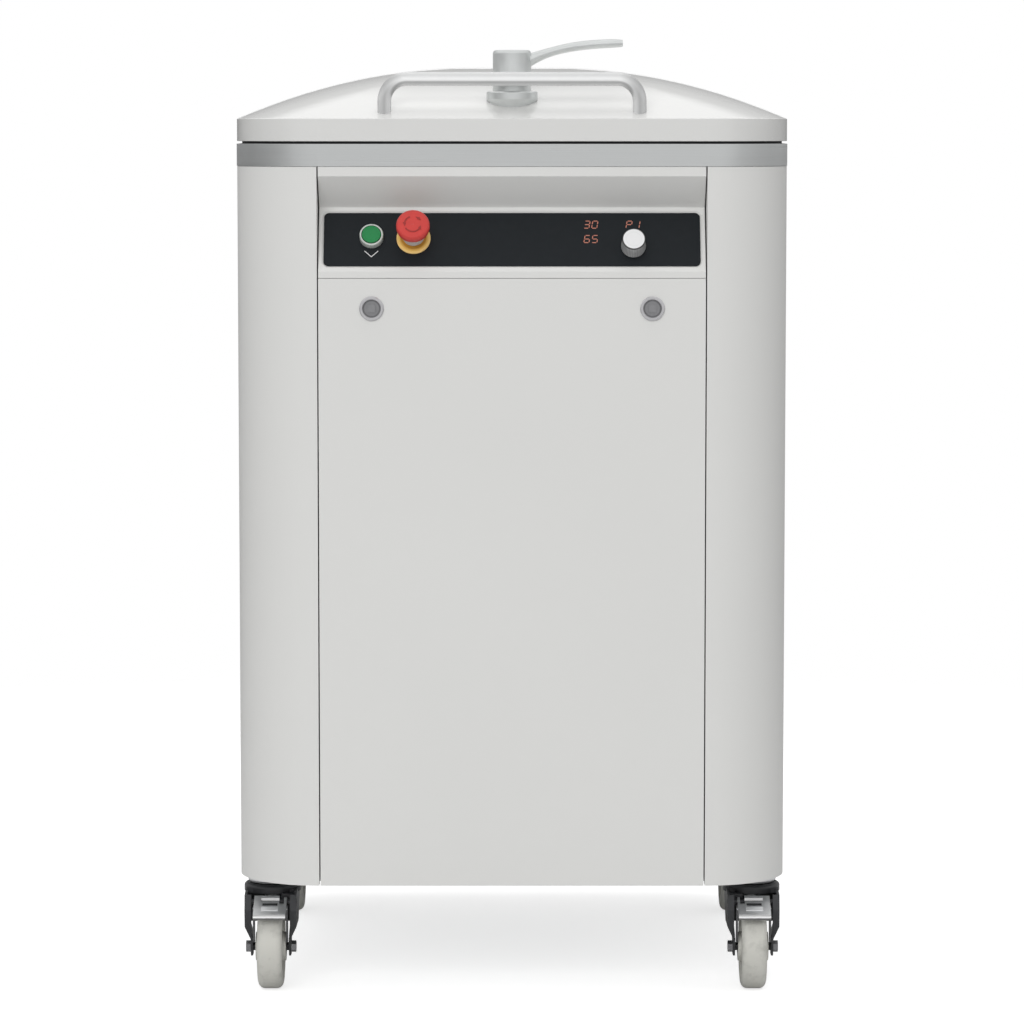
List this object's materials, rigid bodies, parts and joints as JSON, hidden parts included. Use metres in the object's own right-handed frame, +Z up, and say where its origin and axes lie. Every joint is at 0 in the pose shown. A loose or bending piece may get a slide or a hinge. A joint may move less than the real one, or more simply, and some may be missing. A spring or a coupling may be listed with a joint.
{
  "type": "dough divider",
  "caption": "Floor-standing hydraulic dough divider on braked casters, with a domed hinged lid, lock lever, slanted control console, and a basin with press tiles and a knife grid.",
  "frame": {"origin": "on the floor, at the centre of the machine's outline", "axes": "+X to the user's right, +Y from the front to the back, +Z up"},
  "size_m": [0.653, 0.7276, 1.1287],
  "materials": {
    "cabinet_paint": "fine satin powder coat, warm light grey",
    "lid_paint": "smooth gloss paint, light grey-white",
    "stainless": "brushed along the band",
    "blade_steel": "ground stainless",
    "satin_metal": "satin anodised",
    "zinc": "bright zinc plate",
    "overlay": "semi-gloss black film",
    "green_plastic": "moulded",
    "red_plastic": "moulded",
    "yellow_plastic": "moulded",
    "grey_plastic": "moulded",
    "white_food_plastic": "milled, food grade",
    "wheel_plastic": "moulded, slightly waxy",
    "gasket": "black, matte",
    "fork_paint": "dark grey coat",
    "machine_steel": "machined",
    "machine_paint": "plain coat",
    "cast_aluminium": "as cast",
    "black_plastic": "moulded"
  },
  "bodies": {
    "cabinet": {"base_tray": "stainless", "left_side_shell": "cabinet_paint", "right_side_shell": "cabinet_paint", "front_panel": "cabinet_paint", "rear_panel": "cabinet_paint", "control_console": "cabinet_paint", "console_overlay": "overlay", "start_button_bezel": "satin_metal", "estop_ring": "yellow_plastic", "switch_blocks": "black_plastic", "panel_lock_housings": "satin_metal", "top_band": "stainless", "top_deck": "stainless", "lock_keeper": "machine_steel", "lid_gasket": "gasket", "basin": "stainless", "rear_hinges": "stainless", "upright_frame": "machine_paint", "bridge_beam": "machine_paint", "main_cylinder": "machine_paint", "knife_cylinders": "machine_paint", "hydraulic_tank": "black_plastic", "pump_motor": "cast_aluminium", "valve_block": "cast_aluminium", "control_box": "grey_plastic", "cable_gland": "black_plastic", "caster_heads": "zinc"},
    "lid": {"lid_shell": "lid_paint", "lid_inner_pan": "stainless", "lid_press_plate": "white_food_plastic", "lid_handle": "satin_metal", "lever_boss": "satin_metal", "lid_hinge_leaves": "stainless"},
    "lock_lever": {"lock_lever": "satin_metal", "lock_shaft": "machine_steel"},
    "start_button": {"start_button_cap": "green_plastic"},
    "estop_stem": {"estop_stem": "grey_plastic"},
    "estop_head": {"estop_mushroom": "red_plastic"},
    "encoder_stem": {"encoder_shaft": "machine_steel"},
    "encoder_knob": {"encoder_knob": "satin_metal"},
    "panel_lock_left": {"panel_lock_core_left": "satin_metal"},
    "panel_lock_right": {"panel_lock_core_right": "satin_metal"},
    "press": {"press_tiles": "white_food_plastic", "press_posts": "machine_steel", "press_carrier": "cast_aluminium", "main_ram": "machine_steel"},
    "knives": {"knife_blades_long": "blade_steel", "knife_blades_cross": "blade_steel", "knife_frame": "machine_steel", "knife_rams": "machine_steel"},
    "caster_front_left": {"caster_fork_front_left": "fork_paint"},
    "wheel_front_left": {"caster_wheel_front_left": "wheel_plastic"},
    "caster_front_right": {"caster_fork_front_right": "fork_paint"},
    "wheel_front_right": {"caster_wheel_front_right": "wheel_plastic"},
    "caster_rear_left": {"caster_fork_rear_left": "fork_paint"},
    "wheel_rear_left": {"caster_wheel_rear_left": "wheel_plastic"},
    "caster_rear_right": {"caster_fork_rear_right": "fork_paint"},
    "wheel_rear_right": {"caster_wheel_rear_right": "wheel_plastic"},
    "brake_front_left": {"brake_pedal_front_left": "zinc"},
    "brake_front_right": {"brake_pedal_front_right": "zinc"}
  },
  "joints": [
    {"name": "lid_hinge", "type": "hinge", "parent": "cabinet", "child": "lid", "pos_m": [0, 0.354, 1.008], "axis": [-1, 0, 0], "range_deg": [0, 95]},
    {"name": "lever_turn", "type": "hinge", "parent": "lid", "child": "lock_lever", "pos_m": [0, -0.288, 1.068], "axis": [0, 0, 1], "range_deg": [0, 90]},
    {"name": "start_press", "type": "slide", "parent": "cabinet", "child": "start_button", "axis": [0, 0.8896, -0.4568], "range_m": [0, 0.004], "stiffness_N_per_m": 400},
    {"name": "estop_press", "type": "slide", "parent": "cabinet", "child": "estop_stem", "axis": [0, 0.8896, -0.4568], "range_m": [0, 0.005], "stiffness_N_per_m": 1500},
    {"name": "estop_twist", "type": "hinge", "parent": "estop_stem", "child": "estop_head", "pos_m": [-0.1152, -0.32522, 0.89651], "axis": [0, 0.8896, -0.4568], "range_deg": [0, 30], "stiffness_Nm_per_rad": 0.1},
    {"name": "encoder_press", "type": "slide", "parent": "cabinet", "child": "encoder_stem", "axis": [0, 0.8896, -0.4568], "range_m": [0, 0.001], "stiffness_N_per_m": 2000},
    {"name": "encoder_turn", "type": "hinge", "parent": "encoder_stem", "child": "encoder_knob", "pos_m": [0.142, -0.33011, 0.88699], "axis": [0, -0.8896, 0.4568], "continuous": true},
    {"name": "panel_lock_left_turn", "type": "hinge", "parent": "cabinet", "child": "panel_lock_left", "pos_m": [-0.164, -0.345, 0.815], "axis": [0, 1, 0], "range_deg": [0, 90]},
    {"name": "panel_lock_right_turn", "type": "hinge", "parent": "cabinet", "child": "panel_lock_right", "pos_m": [0.164, -0.345, 0.815], "axis": [0, 1, 0], "range_deg": [0, 90]},
    {"name": "press_lift", "type": "slide", "parent": "cabinet", "child": "press", "axis": [0, 0, 1], "range_m": [0, 0.117]},
    {"name": "knife_lift", "type": "slide", "parent": "cabinet", "child": "knives", "axis": [0, 0, 1], "range_m": [0, 0.122]},
    {"name": "swivel_front_left", "type": "hinge", "parent": "cabinet", "child": "caster_front_left", "pos_m": [-0.288, -0.252, 0.117], "axis": [0, 0, 1], "continuous": true},
    {"name": "roll_front_left", "type": "hinge", "parent": "caster_front_left", "child": "wheel_front_left", "pos_m": [-0.288, -0.29, 0.05], "axis": [1, 0, 0], "continuous": true},
    {"name": "brake_front_left_press", "type": "hinge", "parent": "caster_front_left", "child": "brake_front_left", "pos_m": [-0.288, -0.296, 0.105], "axis": [1, 0, 0], "range_deg": [0, 8]},
    {"name": "swivel_front_right", "type": "hinge", "parent": "cabinet", "child": "caster_front_right", "pos_m": [0.288, -0.252, 0.117], "axis": [0, 0, 1], "continuous": true},
    {"name": "roll_front_right", "type": "hinge", "parent": "caster_front_right", "child": "wheel_front_right", "pos_m": [0.288, -0.29, 0.05], "axis": [1, 0, 0], "continuous": true},
    {"name": "brake_front_right_press", "type": "hinge", "parent": "caster_front_right", "child": "brake_front_right", "pos_m": [0.288, -0.296, 0.105], "axis": [1, 0, 0], "range_deg": [0, 8]},
    {"name": "swivel_rear_left", "type": "hinge", "parent": "cabinet", "child": "caster_rear_left", "pos_m": [-0.288, 0.252, 0.117], "axis": [0, 0, 1], "continuous": true},
    {"name": "roll_rear_left", "type": "hinge", "parent": "caster_rear_left", "child": "wheel_rear_left", "pos_m": [-0.288, 0.214, 0.05], "axis": [1, 0, 0], "continuous": true},
    {"name": "swivel_rear_right", "type": "hinge", "parent": "cabinet", "child": "caster_rear_right", "pos_m": [0.288, 0.252, 0.117], "axis": [0, 0, 1], "continuous": true},
    {"name": "roll_rear_right", "type": "hinge", "parent": "caster_rear_right", "child": "wheel_rear_right", "pos_m": [0.288, 0.214, 0.05], "axis": [1, 0, 0], "continuous": true}
  ]
}
